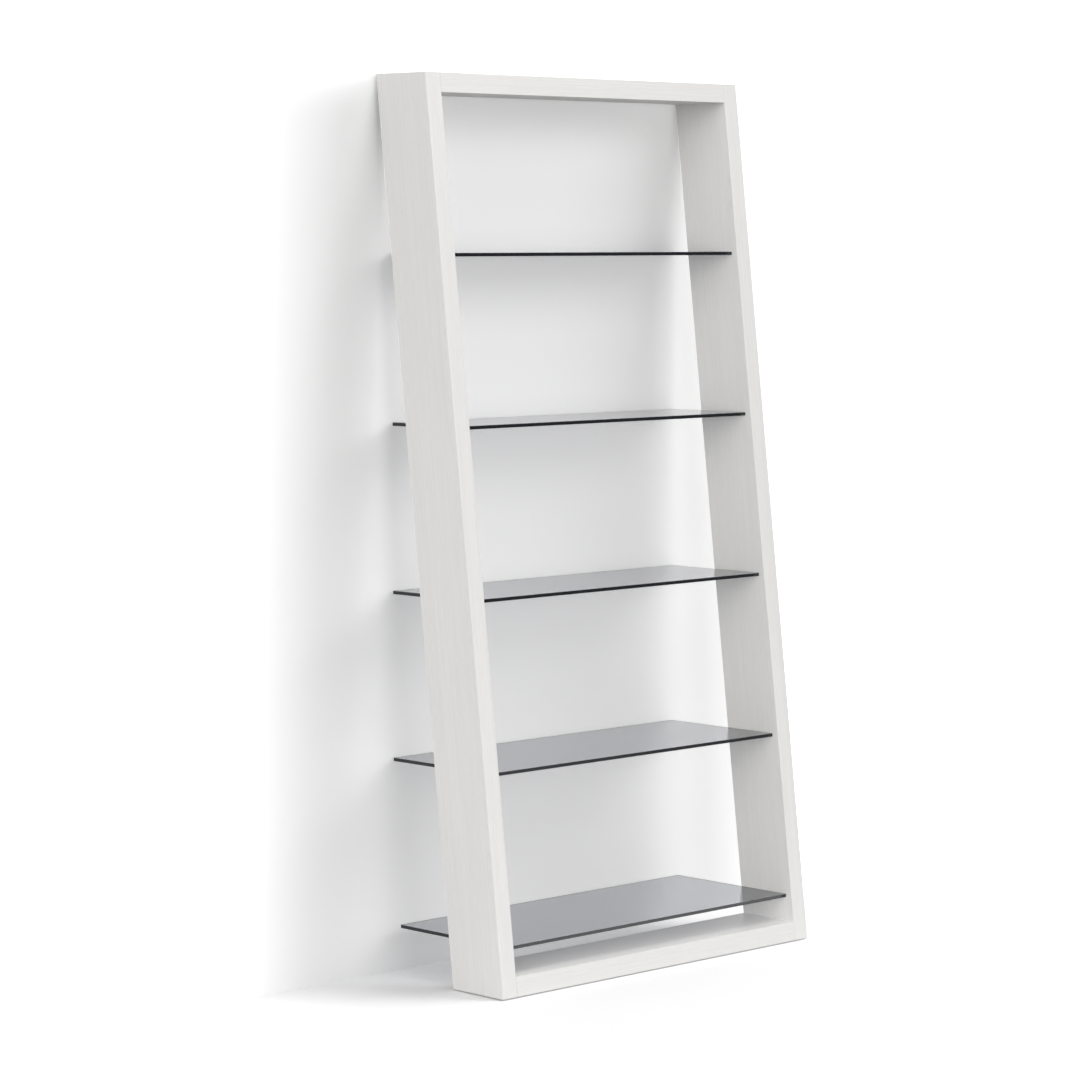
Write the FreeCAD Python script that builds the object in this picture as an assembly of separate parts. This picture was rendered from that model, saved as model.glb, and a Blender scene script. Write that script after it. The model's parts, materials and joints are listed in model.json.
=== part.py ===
import FreeCAD, Part
import math
import os

from FreeCAD import Vector

# Leaning shelf: a white wooden frame that stands on the floor and leans on a wall, with glass shelves.
# Lengths are in millimetres and angles in degrees. +Z is up, +Y points at the wall, X runs along the width.
# The pieces are drawn with y = 0 where the leaning front face would meet the floor and z = 0 on the floor.
# At the end they are moved so that the origin is the middle of the whole footprint, on the floor.

# Driving dimensions of the wooden frame
frame_width = 1004.0
frame_height = 2032.0
board_thickness = 44.0
board_width = 160.0
lean_angle = 6.91
board_round = 0.8

# Driving dimensions of the glass shelves, counted from the lowest one up
shelf_count = 5
lowest_shelf_top = 111.0
top_bay_height = 353.0
glass_thickness = 8.0
glass_setback = 15.5
glass_wall_gap = 3.0
skirting_clearance = 25.5
glass_side_gap = 0.5
glass_corner_round = 1.5
glass_arris = 0.6
tab_reach = 12.0
tab_step = 1.0
notch_relief_radius = 2.0

# Driving dimensions of the sleeves that hold the glass tabs in the side panels
pocket_wood = 28.0
sleeve_wall = 1.0
sleeve_setback = 0.2
sleeve_fit = 0.1
tab_end_gap = 0.3
tab_top_gap = 0.2

# Driving dimensions of the corner joints: dowels, cam bolts, cam locks and caps
dowel_radius = 4.0
dowel_length = 36.0
dowel_margin = 18.5
dowel_chamfer = 1.0
dowel_end_gap = 0.5
cam_margin = 50.5
cam_radius = 7.4
cam_distance = 34.0
cam_below_axis = 4.5
cam_cavity_play = 1.5
cam_entry_play = 0.4
cam_slot_play = 0.3
cap_thickness = 2.0
cap_chamfer = 0.4
bolt_thread_radius = 2.5
bolt_thread_length = 11.0
bolt_shaft_radius = 3.0
bolt_neck_radius = 2.2
bolt_neck_lead = 0.2
bolt_head_radius = 3.5
bolt_head_length = 3.5
bolt_head_gap = 0.2
bolt_hole_clearance = 1.0
fastener_fit = 0.05

# Driving dimensions of the levelling feet
foot_margin = 35.5
foot_travel = 10.0
floor_gap = 2.5
sole_thickness = 1.0
sole_inset = 1.0
pad_radius = 13.0
pad_thickness = 3.0
pad_chamfer = 0.6
pad_clearance = 1.0
pin_radius = 3.0
pin_length = 2.0
stem_radius = 4.0
stem_tip_chamfer = 0.8
stem_hole_clearance = 0.5
hex_across_flats = 13.0
hex_height = 3.0
stop_gap = 0.2
running_clearance = 0.1
insert_radius = 5.5
insert_length = 18.0
insert_flange_radius = 8.0
insert_flange_thickness = 1.0

# Driving dimensions of the wall brackets, their screws and the wall pads
bracket_spacing = 406.4
bracket_width = 40.0
bracket_thickness = 2.0
bracket_top_length = 50.0
bracket_drop = 40.0
bracket_edge_round = 3.0
bracket_fit = 0.2
leg_clearance = 1.0
bend_clearance = 0.2
wall_hole_radius = 3.0
wall_hole_drop = 22.0
screw_spacing = 22.0
screw_from_wall = 32.0
screw_radius = 2.0
screw_head_radius = 3.8
screw_length = 30.0
screw_tip_length = 4.0
wall_pad_width = 30.0
wall_pad_height = 30.0
wall_pad_drop = 6.0
wall_pad_round = 1.5

# Driving dimensions of the cross recesses in cam locks and screws
cross_arm_width = 1.0
cross_depth = 1.3
cam_cross_reach = 3.6
screw_cross_reach = 2.0

# How far a cutting tool runs past what it cuts, and how close two places count as the same
cut_past = 1.0
same_place = 0.01

# Values worked out from the driving dimensions
lean = math.tan(math.radians(lean_angle))
lean_cosine = math.cos(math.radians(lean_angle))
board_depth = board_width / lean_cosine
shelf_pitch = (frame_height - board_thickness - top_bay_height - lowest_shelf_top) / (shelf_count - 1)
inner_x = frame_width / 2 - board_thickness
panel_middle_x = frame_width / 2 - board_thickness / 2
wall_y = frame_height * lean + board_depth + bracket_thickness + leg_clearance
bottom_axis_z = floor_gap + board_thickness / 2
top_axis_z = frame_height - board_thickness / 2
tab_thickness = glass_thickness - 2 * tab_step
tab_inner_height = tab_thickness + tab_top_gap
sleeve_radius = tab_inner_height / 2 + sleeve_wall
sleeve_depth = tab_reach + tab_end_gap + sleeve_wall
cam_cavity_radius = bolt_head_radius + cam_cavity_play
cam_entry_radius = bolt_head_radius + cam_entry_play
cam_slot_height = 2 * (bolt_neck_radius + cam_slot_play)
cam_bore_radius = cam_radius + fastener_fit
cam_bore_depth = board_thickness / 2 + cam_below_axis
foot_top_z = sole_thickness + pad_thickness
hex_top_z = foot_top_z + hex_height
recess_top_z = hex_top_z + stop_gap + insert_flange_thickness
insert_top_z = recess_top_z + insert_length
stem_top_z = insert_top_z + foot_travel


def front_y(z):
    """Gives y on the leaning front face of the frame at a height."""
    return z * lean


def back_y(z):
    """Gives y on the leaning back face of the frame at a height."""
    return z * lean + board_depth


def cylinder(radius, length, start, direction):
    return Part.makeCylinder(radius, length, start, direction)


def box(x_range, y_range, z_range):
    size = (x_range[1] - x_range[0], y_range[1] - y_range[0], z_range[1] - z_range[0])
    return Part.makeBox(*size, Vector(x_range[0], y_range[0], z_range[0]))


def side_prism(points, x_start, x_end):
    """Extrudes an outline given as (y, z) points from one x to another."""
    corners = [Vector(x_start, y, z) for y, z in points]
    face = Part.Face(Part.makePolygon(corners + corners[:1]))
    return face.extrude(Vector(x_end - x_start, 0, 0))


def plan_prism(points, z_start, z_end):
    """Extrudes an outline given as (x, y) points from one z to another."""
    corners = [Vector(x, y, z_start) for x, y in points]
    face = Part.Face(Part.makePolygon(corners + corners[:1]))
    return face.extrude(Vector(0, 0, z_end - z_start))


def edges_along(shape, axis):
    """Lists the straight edges of a shape that run along an axis."""
    found = []
    for edge in shape.Edges:
        span = edge.Vertexes[-1].Point - edge.Vertexes[0].Point
        if span.Length > same_place > span.cross(axis).Length:
            found.append(edge)
    return found


def mirrored(shape):
    """Gives the same piece on the other side of the middle of the width."""
    return shape.mirror(Vector(0, 0, 0), Vector(1, 0, 0))


def fused(first, others):
    return first.fuse(others).removeSplitter()


def capsule(y_start, y_end, z_middle, radius, x_start, x_end):
    """Makes a slot shape with round ends, whose flat sides face up and down, along X."""
    low = z_middle - radius
    high = z_middle + radius
    first_round = y_start + radius
    last_round = y_end - radius
    bottom = Part.LineSegment(Vector(x_start, first_round, low), Vector(x_start, last_round, low))
    back = Part.Arc(
        Vector(x_start, last_round, low),
        Vector(x_start, y_end, z_middle),
        Vector(x_start, last_round, high),
    )
    top = Part.LineSegment(Vector(x_start, last_round, high), Vector(x_start, first_round, high))
    front = Part.Arc(
        Vector(x_start, first_round, high),
        Vector(x_start, y_start, z_middle),
        Vector(x_start, first_round, low),
    )
    outline = Part.Wire([part.toShape() for part in (bottom, back, top, front)])
    return Part.Face(outline).extrude(Vector(x_end - x_start, 0, 0))


def cross_recess(centre, reach, into):
    """Makes the tool that cuts a cross recess for a screwdriver, sunk along a direction."""
    half = cross_arm_width / 2
    lowest = min(0, into * cross_depth)
    heights = (centre.z + lowest, centre.z + lowest + cross_depth)
    along_x = box((centre.x - reach, centre.x + reach), (centre.y - half, centre.y + half), heights)
    along_y = box((centre.x - half, centre.x + half), (centre.y - reach, centre.y + reach), heights)
    return along_x.fuse(along_y)


# Places of repeated pieces


def shelf_top(index):
    return lowest_shelf_top + index * shelf_pitch


def tab_low(index):
    """Gives the height of a tab's lower face, a step above the lower face of the glass."""
    return shelf_top(index) - glass_thickness + tab_step


def tab_span(index):
    """Gives the first and last y of a glass tab, clear of both faces of the side panel."""
    top = shelf_top(index)
    end_wall = sleeve_end_length() + sleeve_fit
    first = front_y(top) + pocket_wood + end_wall
    last = back_y(top - glass_thickness) - pocket_wood - end_wall
    return first, last


def sleeve_end_length():
    """Gives how far a sleeve runs past the end of its tab, with wall left at the tab's corners."""
    half_height = tab_inner_height / 2
    corner_reach = half_height + sleeve_wall / 2
    inset = math.sqrt(corner_reach ** 2 - half_height ** 2)
    return tab_end_gap + sleeve_radius - inset


def joint_places(axis_z, margin):
    """Gives the two y places of a pair of fittings at a corner joint, in from each face by a margin."""
    return [front_y(axis_z) + margin, back_y(axis_z) - margin]


def foot_places():
    """Gives each foot's name ending with its x and y."""
    places = {}
    for side_name, side in (("left", -1), ("right", 1)):
        for end_name, y in zip(("front", "back"), joint_places(floor_gap, foot_margin)):
            places[end_name + "_" + side_name] = (side * panel_middle_x, y)
    return places


# Cutting tools and fittings of the corner joints, made on the right-hand side


def dowel(y, z):
    middle = Vector(inner_x, y, z)
    piece = cylinder(dowel_radius, dowel_length, middle - Vector(dowel_length / 2, 0, 0), Vector(1, 0, 0))
    rims = [edge for edge in piece.Edges if isinstance(edge.Curve, Part.Circle)]
    return piece.makeChamfer(dowel_chamfer, rims)


def dowel_hole(y, z):
    length = dowel_length + 2 * dowel_end_gap
    middle = Vector(inner_x, y, z)
    return cylinder(
        dowel_radius + fastener_fit, length, middle - Vector(length / 2, 0, 0), Vector(1, 0, 0)
    )


def cam_bolt(y, z):
    """A bolt screwed into the side panel, whose head is held inside the cam lock."""
    inward = Vector(-1, 0, 0)
    start = Vector(inner_x + bolt_thread_length, y, z)
    thread = cylinder(bolt_thread_radius, bolt_thread_length, start, inward)
    head_back = cam_distance - math.sqrt(cam_cavity_radius ** 2 - bolt_head_radius ** 2) + bolt_head_gap
    neck_start = cam_distance - cam_radius - bolt_neck_lead
    neck_length = head_back - neck_start
    shaft = cylinder(bolt_shaft_radius, neck_start, Vector(inner_x, y, z), inward)
    neck = cylinder(bolt_neck_radius, neck_length, Vector(inner_x - neck_start, y, z), inward)
    head = cylinder(bolt_head_radius, bolt_head_length, Vector(inner_x - head_back, y, z), inward)
    return fused(thread, [shaft, neck, head])


def cam_bolt_panel_hole(y, z):
    start = Vector(inner_x, y, z)
    length = bolt_thread_length + fastener_fit
    return cylinder(bolt_thread_radius + fastener_fit, length, start, Vector(1, 0, 0))


def cam_bolt_rail_hole(y, z):
    start = Vector(inner_x, y, z)
    return cylinder(bolt_shaft_radius + bolt_hole_clearance, cam_distance, start, Vector(-1, 0, 0))


def cam_bore(y, z, outward):
    """The round hole for a cam lock, bored from the rail's outer face to just past the bolt."""
    start = Vector(inner_x - cam_distance, y, z - outward * cam_below_axis)
    return cylinder(cam_bore_radius, cam_bore_depth, start, Vector(0, 0, outward))


def cam_lock(y, z, outward):
    """A cam in its locked position: a slot round the bolt's neck, and a way in for its head."""
    x = inner_x - cam_distance
    height = cam_bore_depth - cap_thickness
    base = Vector(x, y, z - outward * cam_below_axis)
    body = cylinder(cam_radius, height, base, Vector(0, 0, outward))
    cavity_half = cam_entry_radius
    cavity = cylinder(cam_cavity_radius, 2 * cavity_half, Vector(x, y, z - cavity_half), Vector(0, 0, 1))
    slot_half = cam_slot_height / 2
    past = cam_radius + cut_past
    slot = box((x, x + past), (y - past, y + past), (z - slot_half, z + slot_half))
    entry = cylinder(cam_entry_radius, past, Vector(x, y, z), Vector(-1, 0, 0))
    top = base + Vector(0, 0, outward * height)
    recess = cross_recess(top, cam_cross_reach, -outward)
    return body.cut([cavity, slot, entry, recess])


def cam_cap(y, z, outward):
    """A flush disc that closes the bore over a cam lock."""
    outer_face = z + outward * board_thickness / 2
    start = Vector(inner_x - cam_distance, y, outer_face - outward * cap_thickness)
    disc = cylinder(cam_radius, cap_thickness, start, Vector(0, 0, outward))
    rim = [
        edge for edge in disc.Edges
        if isinstance(edge.Curve, Part.Circle) and abs(edge.Curve.Center.z - outer_face) < same_place
    ]
    return disc.makeChamfer(cap_chamfer, rim)


# Wooden boards


def leaning_board(x_start, x_end, z_start, z_end):
    points = [
        (front_y(z_start), z_start),
        (back_y(z_start), z_start),
        (back_y(z_end), z_end),
        (front_y(z_end), z_end),
    ]
    return side_prism(points, x_start, x_end)


def side_panel():
    """The right-hand side panel, with pockets for the glass and bores for joints and feet."""
    board = leaning_board(inner_x, frame_width / 2, floor_gap, frame_height)
    board = board.makeFillet(board_round, board.Edges)
    cuts = []
    for index in range(shelf_count):
        cuts.append(sleeve_outline(index, sleeve_fit, inner_x, inner_x + sleeve_depth))
    for axis_z in (bottom_axis_z, top_axis_z):
        cuts += [dowel_hole(y, axis_z) for y in joint_places(axis_z, dowel_margin)]
        cuts += [cam_bolt_panel_hole(y, axis_z) for y in joint_places(axis_z, cam_margin)]
    for x, y in foot_places().values():
        if x > 0:
            cuts += foot_bores(x, y)
    return board.cut(cuts)


def foot_bores(x, y):
    """The recess round a foot's pad, the bore for its insert and the space for its stem above."""
    up = Vector(0, 0, 1)
    recess = cylinder(pad_radius + pad_clearance, recess_top_z, Vector(x, y, 0), up)
    insert_bore = cylinder(insert_radius + fastener_fit, insert_top_z, Vector(x, y, 0), up)
    stem_hole_radius = stem_radius + stem_hole_clearance
    stem_bore = cylinder(stem_hole_radius, stem_top_z + stem_hole_clearance, Vector(x, y, 0), up)
    return [recess, insert_bore, stem_bore]


def rail(z_start, z_end, axis_z, outward):
    """A rail between the side panels, with holes for its fittings at both ends."""
    board = leaning_board(-inner_x, inner_x, z_start, z_end)
    board = board.makeFillet(board_round, edges_along(board, Vector(1, 0, 0)))
    cuts = [dowel_hole(y, axis_z) for y in joint_places(axis_z, dowel_margin)]
    for y in joint_places(axis_z, cam_margin):
        cuts.append(cam_bolt_rail_hole(y, axis_z))
        cuts.append(cam_bore(y, axis_z, outward))
    return board.cut(cuts + [mirrored(cut) for cut in cuts])


def top_rail():
    board = rail(frame_height - board_thickness, frame_height, top_axis_z, 1)
    cuts = []
    for x in bracket_places():
        half = bracket_width / 2 + bracket_fit
        seat_start = wall_y - bracket_top_length - bracket_fit
        heights = (frame_height - bracket_thickness, frame_height + cut_past)
        cuts.append(box((x - half, x + half), (seat_start, wall_y), heights))
        cuts += [screw_hole(place) for place in screw_places(x)]
    return board.cut(cuts)


def bottom_rail():
    return rail(floor_gap, floor_gap + board_thickness, bottom_axis_z, -1)


# Glass shelves and the sleeves that hold them


def glass_shelf(index):
    """A glass plate between the side panels, with a thinner tab at each end that goes into a panel.

    The inner corners beside the tabs are relieved with round cuts.
    """
    top = shelf_top(index)
    low = top - glass_thickness
    front = front_y(top) + glass_setback
    back = wall_y - (skirting_clearance if index == 0 else glass_wall_gap)
    plate_x = inner_x - glass_side_gap
    tab_x = inner_x + tab_reach
    tab_front, tab_back = tab_span(index)
    plate = box((-plate_x, plate_x), (front, back), (low, top))
    plate = plate.makeFillet(glass_corner_round, edges_along(plate, Vector(0, 0, 1)))
    reliefs = []
    for x in (-plate_x, plate_x):
        for y in (tab_front, tab_back):
            reliefs.append(cylinder(notch_relief_radius, glass_thickness, Vector(x, y, low), Vector(0, 0, 1)))
    plate = plate.cut(reliefs)
    rims = [
        edge for edge in plate.Edges
        if abs(edge.BoundBox.ZMin - edge.BoundBox.ZMax) < same_place
    ]
    plate = plate.makeChamfer(glass_arris, rims)
    tab_heights = (tab_low(index), tab_low(index) + tab_thickness)
    tabs = box((-tab_x, tab_x), (tab_front, tab_back), tab_heights)
    return fused(plate, [tabs.cut(reliefs)])


def sleeve_outline(index, grow, x_start, x_end):
    """The round-ended shape of a sleeve, or of its pocket when it is grown by the fit."""
    tab_front, tab_back = tab_span(index)
    middle = tab_low(index) + tab_inner_height / 2
    past_tab = sleeve_end_length() + grow
    return capsule(tab_front - past_tab, tab_back + past_tab, middle, sleeve_radius + grow, x_start, x_end)


def shelf_sleeve(index):
    """The right-hand sleeve of a shelf: a soft boot in the panel, open towards the glass."""
    outer = sleeve_outline(index, 0, inner_x + sleeve_setback, inner_x + sleeve_depth)
    tab_front, tab_back = tab_span(index)
    low = tab_low(index)
    space = box(
        (inner_x, inner_x + tab_reach + tab_end_gap),
        (tab_front - tab_end_gap, tab_back + tab_end_gap),
        (low, low + tab_inner_height),
    )
    return outer.cut(space)


# Levelling feet


def foot_insert(x, y):
    """A flanged, threaded insert pressed into the end of a side panel."""
    up = Vector(0, 0, 1)
    body = cylinder(insert_radius, insert_length, Vector(x, y, recess_top_z), up)
    flange_start = Vector(x, y, recess_top_z - insert_flange_thickness)
    flange = cylinder(insert_flange_radius, insert_flange_thickness, flange_start, up)
    length = insert_length + insert_flange_thickness
    bore = cylinder(stem_radius + running_clearance, length, flange_start, up)
    return body.fuse(flange).cut(bore)


def foot_stem(x, y):
    """A threaded stem with a hexagon to turn it by and a pin that turns in the pad."""
    up = Vector(0, 0, 1)
    reach = hex_across_flats / 2 / math.cos(math.pi / 6)
    corners = []
    for step in range(6):
        turn = step * math.pi / 3
        corners.append((x + reach * math.cos(turn), y + reach * math.sin(turn)))
    hexagon = plan_prism(corners, foot_top_z, hex_top_z)
    rod = cylinder(stem_radius, stem_top_z - hex_top_z, Vector(x, y, hex_top_z), up)
    tip = [
        edge for edge in rod.Edges
        if isinstance(edge.Curve, Part.Circle) and abs(edge.Curve.Center.z - stem_top_z) < same_place
    ]
    rod = rod.makeChamfer(stem_tip_chamfer, tip)
    pin = cylinder(pin_radius, pin_length, Vector(x, y, foot_top_z - pin_length), up)
    return fused(hexagon, [rod, pin])


def foot_pad(x, y):
    """A round pad that stays still on the floor while the stem turns in it."""
    up = Vector(0, 0, 1)
    disc = cylinder(pad_radius, pad_thickness, Vector(x, y, sole_thickness), up)
    rims = [edge for edge in disc.Edges if isinstance(edge.Curve, Part.Circle)]
    disc = disc.makeChamfer(pad_chamfer, rims)
    hole_depth = pin_length + running_clearance
    hole = cylinder(pin_radius + running_clearance, hole_depth, Vector(x, y, foot_top_z - hole_depth), up)
    return disc.cut(hole)


def foot_sole(x, y):
    """A thin soft disc under the pad that keeps it from sliding."""
    return cylinder(pad_radius - sole_inset, sole_thickness, Vector(x, y, 0), Vector(0, 0, 1))


# Wall brackets, their screws and the wall pads


def bracket_places():
    return [-bracket_spacing / 2, bracket_spacing / 2]


def screw_places(x):
    """Gives where the two screws of a bracket enter the top rail."""
    y = wall_y - screw_from_wall
    return [Vector(x + side * screw_spacing / 2, y, frame_height) for side in (-1, 1)]


def countersink(place, grow):
    """The cone of a screw's head, flush with the top of the bracket."""
    height = screw_head_radius - screw_radius
    start = place - Vector(0, 0, height)
    return Part.makeCone(screw_radius + grow, screw_head_radius + grow, height, start, Vector(0, 0, 1))


def screw_hole(place):
    """The countersunk hole for a screw, through the bracket and into the rail."""
    length = screw_length + fastener_fit
    shank = cylinder(screw_radius + fastener_fit, length, place - Vector(0, 0, length), Vector(0, 0, 1))
    return shank.fuse(countersink(place, fastener_fit))


def bracket_screw(place):
    head = countersink(place, 0)
    head_height = screw_head_radius - screw_radius
    up = Vector(0, 0, 1)
    point = place - up * screw_length
    shank_length = screw_length - screw_tip_length - head_height
    shank = cylinder(screw_radius, shank_length, point + up * screw_tip_length, up)
    tip = Part.makeCone(0, screw_radius, screw_tip_length, point, up)
    screw = fused(head, [shank, tip])
    return screw.cut(cross_recess(place, screw_cross_reach, -1))


def wall_bracket(x):
    """A bent steel strip: one leg is let into the top rail, the other hangs down against the wall."""
    top = frame_height
    low = top - bracket_thickness
    leg_y = wall_y - bracket_thickness
    start_y = wall_y - bracket_top_length
    points = [
        (start_y, low),
        (leg_y, low),
        (leg_y, top - bracket_drop),
        (wall_y, top - bracket_drop),
        (wall_y, top),
        (start_y, top),
    ]
    strip = side_prism(points, x - bracket_width / 2, x + bracket_width / 2)
    inner_round = leg_clearance - bend_clearance
    for y, z, radius in ((leg_y, low, inner_round), (wall_y, top, inner_round + bracket_thickness)):
        bend = [
            edge for edge in edges_along(strip, Vector(1, 0, 0))
            if edge.Vertexes[0].Point.distanceToPoint(Vector(edge.Vertexes[0].X, y, z)) < same_place
        ]
        strip = strip.makeFillet(radius, bend)
    corners = [
        edge for edge in edges_along(strip, Vector(0, 0, 1)) + edges_along(strip, Vector(0, 1, 0))
        if edge.Length < bracket_thickness + same_place
    ]
    strip = strip.makeFillet(bracket_edge_round, corners)
    wall_hole = cylinder(
        wall_hole_radius, 2 * bracket_thickness,
        Vector(x, leg_y - bracket_thickness / 2, top - wall_hole_drop), Vector(0, 1, 0),
    )
    return strip.cut([wall_hole] + [screw_hole(place) for place in screw_places(x)])


def wall_pad():
    """The right-hand wall pad: a wedge on the leaning back face whose own back lies on the wall."""
    high = frame_height - wall_pad_drop
    low = high - wall_pad_height
    points = [(back_y(low), low), (wall_y, low), (wall_y, high), (back_y(high), high)]
    half = wall_pad_width / 2
    wedge = side_prism(points, panel_middle_x - half, panel_middle_x + half)
    return wedge.makeFillet(wall_pad_round, edges_along(wedge, Vector(0, 1, 0)))


# Collecting the pieces, one list of solids for each named piece


def fittings(make, margin, ends):
    """Makes one fitting at both places of both corner joints of a rail."""
    axis_z, extra = ends
    right = [make(y, axis_z, *extra) for y in joint_places(axis_z, margin)]
    return right + [mirrored(piece) for piece in right]


def all_pieces():
    right_panel = side_panel()
    pieces = {
        "side_panel_left": [mirrored(right_panel)],
        "side_panel_right": [right_panel],
        "top_rail": [top_rail()],
        "bottom_rail": [bottom_rail()],
    }
    for index in range(shelf_count):
        number = str(index + 1)
        sleeve = shelf_sleeve(index)
        pieces["glass_shelf_" + number] = [glass_shelf(index)]
        pieces["shelf_sleeve_left_" + number] = [mirrored(sleeve)]
        pieces["shelf_sleeve_right_" + number] = [sleeve]
    for end_name, axis_z, outward in (("top", top_axis_z, 1), ("bottom", bottom_axis_z, -1)):
        plain = (axis_z, ())
        turned = (axis_z, (outward,))
        pieces[end_name + "_dowels"] = fittings(dowel, dowel_margin, plain)
        pieces[end_name + "_cam_bolts"] = fittings(cam_bolt, cam_margin, plain)
        pieces[end_name + "_cam_locks"] = fittings(cam_lock, cam_margin, turned)
        pieces[end_name + "_cam_caps"] = fittings(cam_cap, cam_margin, turned)
    pieces["foot_inserts"] = [foot_insert(x, y) for x, y in foot_places().values()]
    for name, (x, y) in foot_places().items():
        pieces["foot_stem_" + name] = [foot_stem(x, y)]
        pieces["foot_pad_" + name] = [foot_pad(x, y)]
        pieces["foot_sole_" + name] = [foot_sole(x, y)]
    pieces["wall_bracket_left"] = [wall_bracket(bracket_places()[0])]
    pieces["wall_bracket_right"] = [wall_bracket(bracket_places()[1])]
    pieces["bracket_screws"] = [bracket_screw(place) for x in bracket_places() for place in screw_places(x)]
    pad = wall_pad()
    pieces["wall_pad_left"] = [mirrored(pad)]
    pieces["wall_pad_right"] = [pad]
    return pieces


# Moving the origin to the middle of the footprint and writing each piece

foremost_y = front_y(floor_gap + board_round) + board_round / lean_cosine - board_round
to_origin = Vector(0, -(foremost_y + wall_y) / 2, 0)

os.makedirs("parts", exist_ok=True)
for name, solids in all_pieces().items():
    for solid in solids:
        solid.translate(to_origin)
    shape = solids[0] if len(solids) == 1 else Part.makeCompound(solids)
    shape.exportStep("parts/" + name + ".step")
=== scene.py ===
import json
import math

import bpy
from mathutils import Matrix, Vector

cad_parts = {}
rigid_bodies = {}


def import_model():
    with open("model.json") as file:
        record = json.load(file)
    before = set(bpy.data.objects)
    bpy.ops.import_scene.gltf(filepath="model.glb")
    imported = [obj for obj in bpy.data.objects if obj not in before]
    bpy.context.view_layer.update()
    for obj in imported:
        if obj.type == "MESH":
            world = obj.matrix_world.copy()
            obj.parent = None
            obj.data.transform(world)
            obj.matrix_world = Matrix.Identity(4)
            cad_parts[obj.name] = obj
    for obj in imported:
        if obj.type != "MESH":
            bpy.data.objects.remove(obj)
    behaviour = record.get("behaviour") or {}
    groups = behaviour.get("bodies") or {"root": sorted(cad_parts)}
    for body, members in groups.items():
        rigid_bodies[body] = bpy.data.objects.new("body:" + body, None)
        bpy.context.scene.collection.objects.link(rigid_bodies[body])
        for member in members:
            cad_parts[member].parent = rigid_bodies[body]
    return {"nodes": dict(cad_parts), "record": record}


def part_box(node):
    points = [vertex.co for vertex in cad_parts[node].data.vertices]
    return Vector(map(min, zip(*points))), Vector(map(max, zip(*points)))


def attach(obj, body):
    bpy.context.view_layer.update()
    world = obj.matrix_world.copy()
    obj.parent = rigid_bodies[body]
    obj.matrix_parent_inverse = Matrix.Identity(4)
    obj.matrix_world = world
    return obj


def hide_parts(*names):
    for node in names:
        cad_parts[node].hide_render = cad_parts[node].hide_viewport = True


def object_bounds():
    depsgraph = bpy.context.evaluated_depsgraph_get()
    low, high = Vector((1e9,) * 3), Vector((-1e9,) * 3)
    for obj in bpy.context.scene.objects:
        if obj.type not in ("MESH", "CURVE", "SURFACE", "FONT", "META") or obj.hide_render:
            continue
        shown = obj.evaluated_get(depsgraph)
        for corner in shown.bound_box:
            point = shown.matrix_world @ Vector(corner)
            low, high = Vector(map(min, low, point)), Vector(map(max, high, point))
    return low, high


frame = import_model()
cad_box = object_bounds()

# Leaning shelf: white wooden frame, grey glass shelves, small fittings. Everything is in metres, in the frame
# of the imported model: +Z up, +Y at the wall that the shelf leans on.

X, Y, Z = 0, 1, 2
MM = 0.001
WHITE = (1.0, 1.0, 1.0)
BLACK = (0.0, 0.0, 0.0)

# Sizes that the looks share with the solids
LEAN = math.radians(6.91)
BOARD_WIDTH = 0.160
RAIL_END = 0.458
FRONT_AT_FLOOR = -0.20542
FRONT_ACROSS = FRONT_AT_FLOOR * math.cos(LEAN)


# Building node trees


def add(tree, kind, settings=None, **inputs):
    """Adds a node, sets its properties, and sets or links its inputs.

    An input goes by its name with _ for each space, or by _ and its number. A plain colour has no alpha.
    """
    made = tree.nodes.new("ShaderNode" + kind)
    for key, value in (settings or {}).items():
        setattr(made, key, value)
    for key, value in inputs.items():
        number = key[1:]
        socket = made.inputs[int(number) if number.isdigit() else key.replace("_", " ")]
        if isinstance(value, bpy.types.NodeSocket):
            tree.links.new(value, socket)
        elif socket.type == "RGBA":
            socket.default_value = (*value, 1.0)
        else:
            socket.default_value = value
    return made


def calc(tree, operation, first, second=0.0, third=0.0):
    made = add(tree, "Math", {"operation": operation}, _0=first, _1=second, _2=third)
    return made.outputs[0]


def weighted(tree, base, *shares):
    """Gives a base plus values, each times its share."""
    total = base
    for value, share in shares:
        total = calc(tree, "MULTIPLY_ADD", value, share, total)
    return total


def remap(tree, value, low, high, to_low=0.0, to_high=1.0):
    """Maps a range of a value smoothly to another range, and holds it there outside."""
    made = add(
        tree, "MapRange", {"interpolation_type": "SMOOTHSTEP"},
        Value=value, From_Min=low, From_Max=high, To_Min=to_low, To_Max=to_high,
    )
    return made.outputs[0]


def split(tree, vector):
    """Gives a vector's three numbers."""
    return add(tree, "SeparateXYZ", Vector=vector).outputs


def blend_colours(tree, share, first, second):
    return add(tree, "Mix", {"data_type": "RGBA"}, _0=share, _6=first, _7=second).outputs[2]


def noise(tree, place, per_metre, detail, seed, roughness=0.5, distortion=0.0):
    """Gives noise with so many features a metre along each axis."""
    shift = (seed, seed * 0.7, seed * 1.3)
    made = add(
        tree, "TexNoise",
        Vector=add(tree, "Mapping", Vector=place, Location=shift, Scale=per_metre).outputs[0],
        Scale=1.0, Detail=detail, Roughness=roughness, Distortion=distortion,
    )
    return made.outputs[0]


def even(count):
    return (count, count, count)


def bump(tree, height, distance, strength):
    return add(tree, "Bump", Strength=strength, Distance=distance, Height=height).outputs[0]


def unscattered(tree, path):
    """Gives 1 until a matt surface has scattered a ray, and 0 from then on."""
    return calc(tree, "LESS_THAN", path.outputs["Diffuse Depth"], 0.5)


def straight_on(tree, path, output):
    """Gives 1 for a kind of ray as long as no matt surface has scattered it on its way."""
    return calc(tree, "MULTIPLY", path.outputs[output], unscattered(tree, path))


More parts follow.
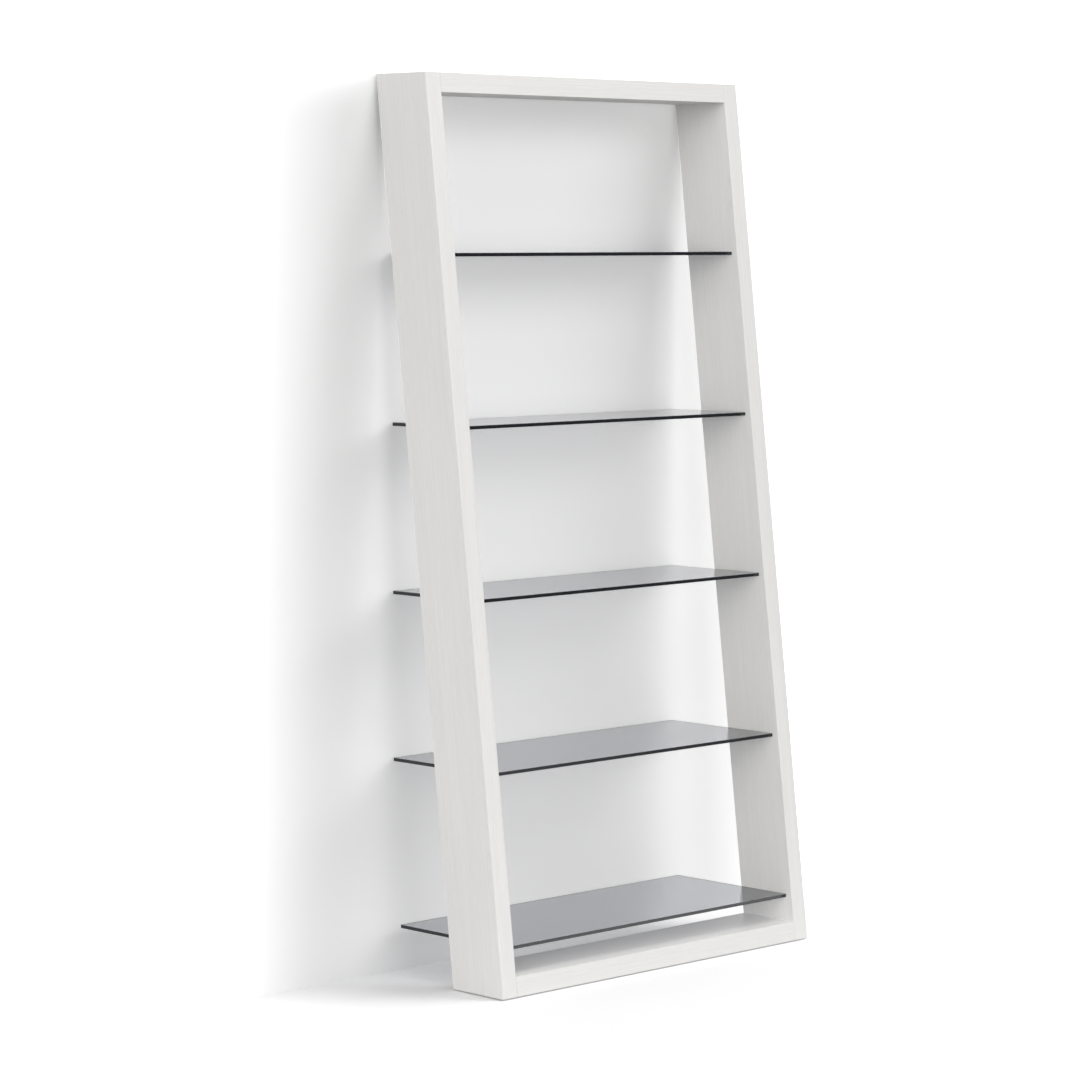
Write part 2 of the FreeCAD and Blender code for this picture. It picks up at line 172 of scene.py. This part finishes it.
def start_material(name):
    """Gives a new material, its empty node tree and the place on the piece that it colours."""
    material = bpy.data.materials.new(name)
    material.use_nodes = True
    tree = material.node_tree
    tree.nodes.clear()
    return material, tree, add(tree, "TexCoord").outputs["Object"]


def put_surface(tree, **inputs):
    """Puts a Principled shader with these inputs on the material."""
    surface = add(tree, "BsdfPrincipled", **inputs)
    add(tree, "OutputMaterial", Surface=surface.outputs[0])


# White satin paint over fine, straight grain

PAINT_LOW = (0.792, 0.782, 0.766)
PAINT_HIGH = (0.842, 0.834, 0.819)
PAINT_PORE = (0.60, 0.585, 0.56)
PAINT_WORN = (0.74, 0.72, 0.69)
PAINT_JOINT = (0.45, 0.44, 0.42)
WEAR_FULL = 0.6 * MM
WEAR_END = 2.4 * MM
JOINT_START = 1.2 * MM
JOINT_FULL = 0.6 * MM


def edge_wear(tree, place, board, ranges):
    """Gives 1 on a board's long edges and 0 a few millimetres away, with gaps.

    Each of the two ranges names an axis with the board's lowest and highest place along it. The depth is
    measured square to the leaning faces, and the height level, as the boards are cut.
    """
    level, leaning = split(tree, place), split(tree, board)
    squares = []
    for axis, low, high in ranges:
        along = (leaning if axis == Y else level)[axis]
        to_low = calc(tree, "ABSOLUTE", calc(tree, "SUBTRACT", along, low))
        to_high = calc(tree, "ABSOLUTE", calc(tree, "SUBTRACT", along, high))
        nearest = calc(tree, "MINIMUM", to_low, to_high)
        squares.append(calc(tree, "MULTIPLY", nearest, nearest))
    distance = calc(tree, "SQRT", calc(tree, "ADD", *squares))
    near = remap(tree, distance, WEAR_FULL, WEAR_END, 1.0, 0.0)
    patches = remap(tree, noise(tree, board, even(60), detail=3, seed=9.1), 0.42, 0.62)
    return calc(tree, "MULTIPLY", near, patches)


def painted_wood(name, grain_axis, ranges, seed, joint_at=None):
    """Paint with the grain along an axis. A board that ends at joints gets a fine dark line there."""
    material, tree, place = start_material(name)
    board = add(tree, "Mapping", Vector=place, Rotation=(LEAN, 0.0, 0.0)).outputs[0]

    def grain(across, along, detail, offset, distortion=0.0):
        """Gives noise with so many features a metre across the grain and along it."""
        counts = [across, across, across]
        counts[grain_axis] = along
        return noise(tree, board, counts, detail, seed + offset, distortion=distortion)

    fibres = grain(across=1500, along=28, detail=2, offset=0.0)
    streaks = grain(across=330, along=5.5, detail=3, offset=3.0, distortion=0.3)
    bands = grain(across=42, along=0.9, detail=2, offset=6.0, distortion=0.6)
    pores = remap(tree, grain(across=1150, along=95, detail=1, offset=8.0), 0.64, 0.72)
    wear = edge_wear(tree, place, board, ranges)
    tone = remap(tree, weighted(tree, 0.0, (streaks, 0.35), (fibres, 0.45), (bands, 0.20)), 0.38, 0.62)
    colour = blend_colours(tree, tone, PAINT_LOW, PAINT_HIGH)
    colour = blend_colours(tree, calc(tree, "MULTIPLY", pores, 0.18), colour, PAINT_PORE)
    colour = blend_colours(tree, calc(tree, "MULTIPLY", wear, 0.25), colour, PAINT_WORN)
    if joint_at is not None:
        from_middle = calc(tree, "ABSOLUTE", split(tree, place)[grain_axis])
        joint = remap(tree, from_middle, joint_at - JOINT_START, joint_at - JOINT_FULL)
        colour = blend_colours(tree, calc(tree, "MULTIPLY", joint, 0.20), colour, PAINT_JOINT)
    handling = noise(tree, place, even(7), detail=4, seed=seed + 2.0)
    height = weighted(tree, 0.0, (fibres, 0.5), (pores, -1.0))
    put_surface(
        tree, Base_Color=colour,
        Roughness=weighted(tree, 0.36, (handling, 0.12), (pores, 0.12), (wear, -0.10)),
        Normal=bump(tree, height, 0.05 * MM, 0.35),
        IOR=1.48, Coat_Weight=0.12, Coat_Roughness=0.28,
    )
    return material


def board_ranges(name, axes):
    """Gives the two ranges that set a board's long edges."""
    low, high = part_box(name)
    return [
        (axis, FRONT_ACROSS, FRONT_ACROSS + BOARD_WIDTH) if axis == Y else (axis, low[axis], high[axis])
        for axis in axes
    ]


# Grey glass that absorbs along the way through it

GLASS_CLEAR = (0.398, 0.405, 0.431)
GLASS_SMEARED = (0.383, 0.390, 0.413)
# Painted shade for the ground edges: nearly black, paler in the grinding marks, in place of the light absorbed
# along the pane
GLASS_EDGE_SHADE = (0.010, 0.011, 0.013)
GLASS_EDGE_SHADE_PALE = (0.018, 0.019, 0.022)
GLASS_ABSORPTION = (0.094, 0.105, 0.136)
GLASS_DENSITY = 50.0
GLASS_TO_LAMPS = (0.96, 0.965, 0.97)


def grey_glass(name):
    """Clear level faces with faint smears, and ground edges in painted shade, nearly black, for the light that
    the grey glass absorbs along the pane.

    No light comes along the pane to its edges. Light from the lamps passes the faces unbent.
    """
    material, tree, place = start_material(name)
    levelness = calc(tree, "ABSOLUTE", split(tree, add(tree, "NewGeometry").outputs["True Normal"])[Z])
    edge = remap(tree, levelness, 0.5, 0.9, 1.0, 0.0)
    wiped = noise(tree, place, (9, 14, 9), detail=5, seed=1.0, roughness=0.6, distortion=0.8)
    smears = remap(tree, wiped, 0.48, 0.72)
    grinding = noise(tree, place, even(2600), detail=2, seed=4.0)
    ground_rough = weighted(tree, 0.08, (grinding, 0.10))
    clear = blend_colours(tree, smears, GLASS_CLEAR, GLASS_SMEARED)
    # Painted shade: the ground edges get a nearly black colour, with paler grinding marks, and let no light
    # through
    ground_edge_shade = blend_colours(tree, grinding, GLASS_EDGE_SHADE, GLASS_EDGE_SHADE_PALE)
    surface = add(
        tree, "BsdfPrincipled", Base_Color=blend_colours(tree, edge, clear, ground_edge_shade),
        Roughness=weighted(tree, 0.004, (smears, 0.018), (edge, ground_rough)),
        Transmission_Weight=calc(tree, "SUBTRACT", 1.0, edge), IOR=1.50,
    )
    to_lamps = add(tree, "BsdfTransparent", Color=GLASS_TO_LAMPS)
    is_shadow = add(tree, "LightPath").outputs["Is Shadow Ray"]
    both = add(tree, "MixShader", _0=is_shadow, _1=surface.outputs[0], _2=to_lamps.outputs[0])
    inside = add(tree, "VolumeAbsorption", Color=GLASS_ABSORPTION, Density=GLASS_DENSITY)
    add(tree, "OutputMaterial", Surface=both.outputs[0], Volume=inside.outputs[0])
    return material


# Materials of the small pieces


def milky_rubber(name, colour, seed):
    """Soft clear plastic or rubber that scatters light inside."""
    material, tree, place = start_material(name)
    cloud = remap(tree, noise(tree, place, even(220), detail=3, seed=seed), 0.35, 0.65)
    grain = noise(tree, place, even(2600), detail=2, seed=seed + 1)
    put_surface(
        tree, Base_Color=blend_colours(tree, cloud, [part * 0.93 for part in colour], colour),
        Roughness=weighted(tree, 0.32, (grain, 0.2)), Normal=bump(tree, grain, 0.02 * MM, 0.5),
        Subsurface_Weight=0.35, Subsurface_Radius=(1.0, 1.0, 1.0), Subsurface_Scale=0.002,
    )
    return material


def turned_beech(name):
    """Bare beech with the grain along X, and darker flecks."""
    material, tree, place = start_material(name)
    fibres = noise(tree, place, (60, 2200, 2200), detail=3, seed=2.0)
    flecks = remap(tree, noise(tree, place, (400, 2600, 2600), detail=1, seed=5.0), 0.60, 0.70)
    colour = blend_colours(tree, remap(tree, fibres, 0.3, 0.7), (0.47, 0.30, 0.16), (0.66, 0.46, 0.28))
    colour = blend_colours(tree, calc(tree, "MULTIPLY", flecks, 0.5), colour, (0.32, 0.18, 0.09))
    put_surface(tree, Base_Color=colour, Roughness=0.62, Normal=bump(tree, fibres, 0.05 * MM, 0.6))
    return material


def metal(name, dark, light, rough, grain_counts, grain_depth, seed):
    """Bare or plated metal with a directional or even grain, cloudy plating and dull spots."""
    material, tree, place = start_material(name)
    grain = noise(tree, place, grain_counts, detail=3, seed=seed)
    cloud = remap(tree, noise(tree, place, even(180), detail=4, seed=seed + 2, roughness=0.6), 0.35, 0.65)
    dull = remap(tree, noise(tree, place, even(700), detail=3, seed=seed + 4), 0.55, 0.70)
    put_surface(
        tree, Base_Color=blend_colours(tree, cloud, dark, light), Metallic=1.0,
        Roughness=weighted(tree, rough, (grain, 0.16), (dull, 0.14)),
        Normal=bump(tree, grain, grain_depth, 0.6),
    )
    return material


def moulded(name, dark, light, rough, pimples, depth, seed):
    """Moulded plastic, rubber or powder coat: a fine even texture, slight mottling and rubbed places."""
    material, tree, place = start_material(name)
    texture = noise(tree, place, even(pimples), detail=2, seed=seed)
    mottle = remap(tree, noise(tree, place, even(90), detail=4, seed=seed + 1), 0.35, 0.65)
    rubbed = remap(tree, noise(tree, place, even(45), detail=4, seed=seed + 3), 0.55, 0.70)
    put_surface(
        tree, Base_Color=blend_colours(tree, mottle, dark, light),
        Roughness=weighted(tree, rough, (texture, 0.10), (rubbed, -0.08)),
        Normal=bump(tree, texture, depth, 0.6),
    )
    return material


boards = {
    "side_panel_left": painted_wood("wood_left", Z, board_ranges("side_panel_left", (X, Y)), seed=0.0),
    "side_panel_right": painted_wood("wood_right", Z, board_ranges("side_panel_right", (X, Y)), seed=17.0),
    "top_rail": painted_wood("wood_top", X, board_ranges("top_rail", (Y, Z)), 31.0, joint_at=RAIL_END),
    "bottom_rail": painted_wood("wood_bottom", X, board_ranges("bottom_rail", (Y, Z)), 47.0, joint_at=RAIL_END),
}
by_slot = {
    "grey_glass": grey_glass("glass_grey"),
    "clear_sleeve": milky_rubber("sleeve_milky", (0.74, 0.74, 0.73), seed=3.0),
    "clear_rubber": milky_rubber("rubber_milky", (0.70, 0.70, 0.69), seed=8.0),
    "beech": turned_beech("beech_turned"),
    "zinc_steel": metal(
        "steel_zinc", dark=(0.55, 0.56, 0.60), light=(0.68, 0.69, 0.70), rough=0.22,
        grain_counts=(500, 500, 2600), grain_depth=0.01 * MM, seed=1.0,
    ),
    "cast_zinc": metal(
        "zinc_cast", dark=(0.42, 0.42, 0.45), light=(0.54, 0.54, 0.56), rough=0.38,
        grain_counts=even(1800), grain_depth=0.03 * MM, seed=6.0,
    ),
    "white_plastic": moulded(
        "plastic_white", dark=(0.76, 0.755, 0.74), light=(0.83, 0.825, 0.81), rough=0.40,
        pimples=2400, depth=0.02 * MM, seed=2.0,
    ),
    "black_nylon": moulded(
        "nylon_black", dark=(0.022, 0.022, 0.023), light=(0.040, 0.040, 0.041), rough=0.46,
        pimples=2000, depth=0.03 * MM, seed=4.0,
    ),
    "black_rubber": moulded(
        "rubber_black", dark=(0.016, 0.016, 0.016), light=(0.030, 0.030, 0.029), rough=0.74,
        pimples=1400, depth=0.05 * MM, seed=7.0,
    ),
    "bracket_paint": moulded(
        "paint_powder", dark=(0.76, 0.755, 0.745), light=(0.82, 0.815, 0.805), rough=0.42,
        pimples=900, depth=0.04 * MM, seed=5.0,
    ),
}
slot_of = {row["node"]: row["material_slot"] for row in frame["record"]["subparts"]}
for node_name, node in frame["nodes"].items():
    look = boards.get(node_name) or by_slot[slot_of[node_name]]
    for material_slot in node.material_slots:
        material_slot.material = look


def new_object(name, verts, faces, material):
    mesh = bpy.data.meshes.new(name)
    mesh.from_pydata(verts, [], faces)
    mesh.validate()
    mesh.materials.append(material)
    made = bpy.data.objects.new(name, mesh)
    bpy.context.scene.collection.objects.link(made)
    return made


# Threaded stems of the levelling feet, with all sizes in millimetres

STEM_SIDES = 24
PIN_RADIUS = 2.95
PIN_CHAMFER = 0.4
HEX_BOTTOM = 2.0
HEX_TOP = 5.0
HEX_FLATS = 13.0
HEX_CORNER_RADIUS = 7.05
HEX_CHAMFER = 0.45
NECK_LENGTH = 0.6
THREAD_START = 0.7
THREAD_STOP = 1.0
THREAD_PITCH = 1.25
THREAD_ROOT = 3.32
THREAD_CREST = 3.98
THREAD_ROWS_A_TURN = 8
FLANK_SLOPE = 2.6
CREST_CUT = 0.15
TIP_LENGTH = 0.8


def round_bar(radius):
    return lambda angle: radius


def hexagon(angle):
    """Gives how far the hexagon reaches at an angle."""
    from_corner = (angle + math.pi / 6) % (math.pi / 3) - math.pi / 6
    from_flat = math.pi / 6 - abs(from_corner)
    return HEX_FLATS / 2 / math.cos(from_flat)


def broken_hexagon(angle):
    """Gives the hexagon's reach where its corners are broken."""
    return min(HEX_CORNER_RADIUS, hexagon(angle))


def thread_at(height):
    """Gives the reach of a right-handed thread with slightly flattened crests and roots, at a height."""

    def reach(angle):
        phase = (height / THREAD_PITCH - angle / (2 * math.pi)) % 1.0
        depth = min(1.0, max(0.0, FLANK_SLOPE * abs(phase - 0.5) - CREST_CUT))
        return THREAD_CREST + (THREAD_ROOT - THREAD_CREST) * depth

    return reach


def stem_rings(bottom, top):
    """Gives a stem's rings from its pin up, each as its height and its reach at an angle."""
    hex_bottom, hex_top = bottom + HEX_BOTTOM, bottom + HEX_TOP
    pin, root = round_bar(PIN_RADIUS), round_bar(THREAD_ROOT)
    rings = [
        (bottom, round_bar(PIN_RADIUS - PIN_CHAMFER)),
        (bottom + PIN_CHAMFER, pin),
        (hex_bottom, pin),
        (hex_bottom, broken_hexagon),
        (hex_bottom + HEX_CHAMFER, hexagon),
        (hex_top - HEX_CHAMFER, hexagon),
        (hex_top, broken_hexagon),
        (hex_top, root),
        (hex_top + NECK_LENGTH, root),
    ]
    rows = int((top - THREAD_STOP - hex_top - THREAD_START) / THREAD_PITCH * THREAD_ROWS_A_TURN)
    for row in range(rows + 1):
        height = hex_top + THREAD_START + row * THREAD_PITCH / THREAD_ROWS_A_TURN
        rings.append((height, thread_at(height)))
    return rings + [(top - TIP_LENGTH, root), (top, round_bar(THREAD_ROOT - TIP_LENGTH))]


def threaded_stem(foot):
    """A stem turned in rings: pin, hexagon with broken corners, thread and pointed end."""
    low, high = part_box("foot_stem_" + foot)
    middle = (low + high) / 2
    rings = stem_rings(low.z / MM, high.z / MM)
    verts, faces = [], []
    for height, reach in rings:
        for side in range(STEM_SIDES):
            angle = 2 * math.pi * side / STEM_SIDES
            out = reach(angle) * MM
            verts.append((middle.x + out * math.cos(angle), middle.y + out * math.sin(angle), height * MM))
    for start in range(0, len(verts) - STEM_SIDES, STEM_SIDES):
        above = start + STEM_SIDES
        for side in range(STEM_SIDES):
            after = (side + 1) % STEM_SIDES
            faces.append((start + side, start + after, above + after, above + side))
    faces.append(tuple(reversed(range(STEM_SIDES))))
    faces.append(tuple(range(len(verts) - STEM_SIDES, len(verts))))
    stem = new_object("threaded_stem_" + foot, verts, faces, by_slot["zinc_steel"])
    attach(stem, "stem_" + foot)
    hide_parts("foot_stem_" + foot)


for foot in ("front_left", "back_left", "front_right", "back_right"):
    threaded_stem(foot)


# Floor and wall

FLOOR_Z = -0.3 * MM
FLOOR_REACH = 14.0
WALL_Y = cad_box[1].y + 0.4 * MM
WALL_LEFT = -9.0
WALL_RIGHT = 14.0
WALL_TOP = 6.0
STAGE_LOW = (0.895, 0.895, 0.895)
STAGE_HIGH = (0.905, 0.905, 0.905)

# The surroundings of the shelf, past which the glow grows: how far aside, to front and back, and up. The way
# up counts more, and the growth has an end.
FADE_ASIDE = 0.56
FADE_IN_FRONT = 1.2
FADE_ABOVE = 1.92
FADE_STRETCH_UP = 2.0
FADE_MOST = 1.0

# The distances between which the stage gets dark in gloss and in scattered light, and the share that is left
DIM_FROM = 1.3
DIM_TO = 4.0
DIM_LEAST = 0.10


def square_past_surroundings(tree, place):
    """Gives the square of the way from the shelf's surroundings. Upwards the way counts more."""
    at = split(tree, place)
    aside = calc(tree, "SUBTRACT", calc(tree, "ABSOLUTE", at[X]), FADE_ASIDE)
    in_front = calc(tree, "SUBTRACT", calc(tree, "ABSOLUTE", at[Y]), FADE_IN_FRONT)
    above = calc(tree, "MULTIPLY", calc(tree, "SUBTRACT", at[Z], FADE_ABOVE), FADE_STRETCH_UP)
    ways = [calc(tree, "MAXIMUM", way, 0.0) for way in (aside, in_front, above)]
    return weighted(tree, 0.0, *zip(ways, ways))


def stage_material(name, seen, mirrored, through, scattering, fade, one_sided=False):
    """Matt white that keeps shadows, and glows with a strength of its own for each kind of ray.

    The strengths are what the camera has seen, what gloss has mirrored and what shows through glass. The
    camera's glow grows by the fade past the shelf's surroundings, so the picture's edges are white. Light that
    was scattered before meets a darker grey, the scattering. In gloss and in scattered light the stage gets
    dark with distance, as in a studio where only its near part is lit. A one-sided sheet is clear from behind.
    """
    material, tree, place = start_material(name)
    path = add(tree, "LightPath")
    camera_ray = path.outputs["Is Camera Ray"]
    glass_ray = straight_on(tree, path, "Is Transmission Ray")
    fresh = unscattered(tree, path)
    distance = add(tree, "VectorMath", {"operation": "LENGTH"}, _0=place).outputs["Value"]
    near = remap(tree, distance, DIM_FROM, DIM_TO, 1.0, DIM_LEAST)
    lit = calc(tree, "MAXIMUM", calc(tree, "MAXIMUM", camera_ray, glass_ray), near)

    mottle = noise(tree, place, even(3), detail=3, seed=2.0)
    white = blend_colours(tree, mottle, STAGE_LOW, STAGE_HIGH)
    white = blend_colours(tree, fresh, even(scattering), white)
    white = blend_colours(tree, lit, BLACK, white)
    surface = add(tree, "BsdfPrincipled", Base_Color=white, Roughness=0.9, Specular_IOR_Level=0.0)

    grown = calc(tree, "MULTIPLY", square_past_surroundings(tree, place), fade)
    to_camera = calc(tree, "ADD", calc(tree, "MINIMUM", grown, FADE_MOST), seen)
    in_gloss = calc(tree, "MULTIPLY", straight_on(tree, path, "Is Glossy Ray"), near)
    glow = weighted(tree, 0.0, (camera_ray, to_camera), (in_gloss, mirrored), (glass_ray, through))
    light = add(tree, "Emission", Color=WHITE, Strength=glow)
    result = add(tree, "AddShader", _0=surface.outputs[0], _1=light.outputs[0]).outputs[0]
    if one_sided:
        behind = calc(tree, "MULTIPLY", add(tree, "NewGeometry").outputs["Backfacing"], fresh)
        clear = add(tree, "BsdfTransparent")
        result = add(tree, "MixShader", _0=behind, _1=result, _2=clear.outputs[0]).outputs[0]
    add(tree, "OutputMaterial", Surface=result)
    return material


floor = new_object(
    "floor",
    [
        (-FLOOR_REACH, -FLOOR_REACH, FLOOR_Z), (FLOOR_REACH, -FLOOR_REACH, FLOOR_Z),
        (FLOOR_REACH, FLOOR_REACH, FLOOR_Z), (-FLOOR_REACH, FLOOR_REACH, FLOOR_Z),
    ],
    [(0, 1, 2, 3)],
    stage_material("floor_white", seen=0.232, mirrored=1.0, through=0.45, scattering=0.50, fade=1.76),
)
wall = new_object(
    "wall",
    [
        (WALL_LEFT, WALL_Y, FLOOR_Z), (WALL_RIGHT, WALL_Y, FLOOR_Z),
        (WALL_RIGHT, WALL_Y, WALL_TOP), (WALL_LEFT, WALL_Y, WALL_TOP),
    ],
    [(0, 1, 2, 3)],
    stage_material(
        "wall_white", seen=0.26, mirrored=0.215, through=0.82, scattering=0.80, fade=2.76, one_sided=True,
    ),
)


# Dome of light that is brighter on the right and overhead

DOME_RIGHT = 1.217
DOME_UP = 0.539
MIRRORED_DOME = 0.10
MIRRORED_UP = 0.70


def studio_world():
    """Lights matt surfaces with the dome, shows gloss its upper part, and is white to camera and glass."""
    world = bpy.data.worlds.new("studio")
    world.use_nodes = True
    sky = world.node_tree
    sky.nodes.clear()
    path = add(sky, "LightPath")
    towards = split(sky, add(sky, "TexCoord").outputs["Generated"])
    rightward = calc(sky, "MAXIMUM", towards[X], 0.0)
    upward = calc(sky, "MAXIMUM", towards[Z], 0.0)
    in_view = calc(
        sky, "MAXIMUM", path.outputs["Is Camera Ray"], straight_on(sky, path, "Is Transmission Ray"),
    )
    in_gloss = straight_on(sky, path, "Is Glossy Ray")
    lighting = calc(sky, "SUBTRACT", 1.0, calc(sky, "MAXIMUM", in_view, in_gloss))
    dome = weighted(sky, 0.0, (rightward, DOME_RIGHT), (upward, DOME_UP))
    mirrored = weighted(sky, MIRRORED_DOME, (upward, MIRRORED_UP))
    strength = weighted(sky, in_view, (in_gloss, mirrored), (lighting, dome))
    light = add(sky, "Background", Color=WHITE, Strength=strength)
    add(sky, "OutputWorld", Surface=light.outputs[0])
    return world


bpy.context.scene.world = studio_world()


# Lamps: four softboxes for the stage, and three and a light from behind for the shelf

BACK_LIGHT = 1.3
STAGE_AIM = (0.0, 0.2, 1.0)
SHELF_AIM = (0.0, 0.0, 1.0)
FRONT_AIM = (0.3, 0.0, 0.8)


def new_lamp(name, kind, energy, lit):
    """Adds a lamp that lights one collection alone."""
    data = bpy.data.lights.new(name, kind)
    data.energy = energy
    lamp = bpy.data.objects.new(name, data)
    bpy.context.scene.collection.objects.link(lamp)
    lamp.light_linking.receiver_collection = lit
    return lamp


def softbox(name, lit, place, aim, side, watts):
    """A square lamp that gloss mirrors, but that doesn't show through glass."""
    lamp = new_lamp(name, "AREA", watts, lit)
    lamp.data.shape = "SQUARE"
    lamp.data.size = side
    lamp.location = place
    lamp.rotation_euler = (Vector(aim) - Vector(place)).to_track_quat("-Z", "Y").to_euler()
    lamp.visible_transmission = False


def back_light(name, lit):
    """Straight light from behind for the back faces: it passes the wall and isn't scattered onto it."""
    lamp = new_lamp(name, "SUN", BACK_LIGHT, lit)
    lamp.data.angle = 0.0
    lamp.data.use_shadow = False
    lamp.data.cycles.max_bounces = 0
    lamp.rotation_euler = (-math.pi / 2, 0.0, 0.0)


stage_only = bpy.data.collections.new("stage_only")
shelf_only = bpy.data.collections.new("shelf_only")
for thing in list(bpy.context.scene.objects):
    if thing.type == "MESH":
        (stage_only if thing in (floor, wall) else shelf_only).objects.link(thing)

softbox("stage_top", stage_only, place=(0.44, -0.88, 5.69), aim=STAGE_AIM, side=0.9, watts=59.4)
softbox("stage_front", stage_only, place=(2.6, -3.4, 3.4), aim=STAGE_AIM, side=2.0, watts=45.0)
softbox("stage_right", stage_only, place=(4.1, -2.4, 3.0), aim=STAGE_AIM, side=1.6, watts=40.3)
softbox("stage_left", stage_only, place=(-1.5, -4.5, 1.2), aim=STAGE_AIM, side=2.0, watts=32.2)
softbox("shelf_top", shelf_only, place=(0.0, -2.4, 7.5), aim=SHELF_AIM, side=4.0, watts=228.5)
softbox("shelf_left", shelf_only, place=(-9.0, -5.6, 2.6), aim=SHELF_AIM, side=8.5, watts=963.0)
softbox("shelf_front", shelf_only, place=(1.2, -4.2, 0.6), aim=FRONT_AIM, side=1.3, watts=14.6)
back_light("shelf_back", shelf_only)


# Camera

CAMERA_PLACE = (-5.85918, -5.81886, 1.67330)
CAMERA_TURN = -0.77241
CAMERA_DIP = -0.08461
FOCAL_PIXELS = 3589.79
FRAME_PIXELS = 1080
SENSOR_MM = 36.0

camera_data = bpy.data.cameras.new("camera")
camera_data.sensor_width = SENSOR_MM
camera_data.lens = FOCAL_PIXELS / FRAME_PIXELS * SENSOR_MM
camera = bpy.data.objects.new("camera", camera_data)
bpy.context.scene.collection.objects.link(camera)
camera.location = CAMERA_PLACE
camera.rotation_euler = (math.pi / 2 + CAMERA_DIP, 0.0, CAMERA_TURN)
bpy.context.scene.camera = camera
bpy.context.scene.view_settings.view_transform = "Standard"
